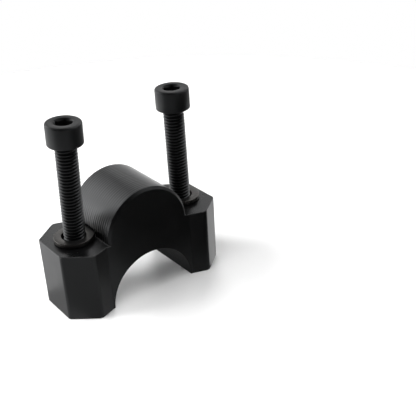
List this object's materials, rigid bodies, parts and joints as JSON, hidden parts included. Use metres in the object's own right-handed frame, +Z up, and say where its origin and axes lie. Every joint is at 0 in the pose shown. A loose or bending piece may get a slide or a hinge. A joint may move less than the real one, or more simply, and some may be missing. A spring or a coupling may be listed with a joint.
{
  "type": "motorcycle bar riser",
  "caption": "Machined black handlebar riser block with a domed back, a half-round bar seat, cap screws standing in its pads and plain washers.",
  "frame": {"origin": "midway between the bolt holes, on the plane of the pads' undersides", "axes": "+X from bolt to bolt, Y along the handlebar, +Z up from the pads' undersides towards the dome and the screw heads"},
  "size_m": [0.0688, 0.0314, 0.0733],
  "materials": {
    "anodised": "black anodised, satin, with fine machining lines",
    "screw": "black oxide, matt",
    "washer": "black zinc, satin"
  },
  "bodies": {
    "root": {"riser_block": "anodised", "left_bolt": "screw", "right_bolt": "screw", "left_washer": "washer", "right_washer": "washer"}
  },
  "joints": []
}
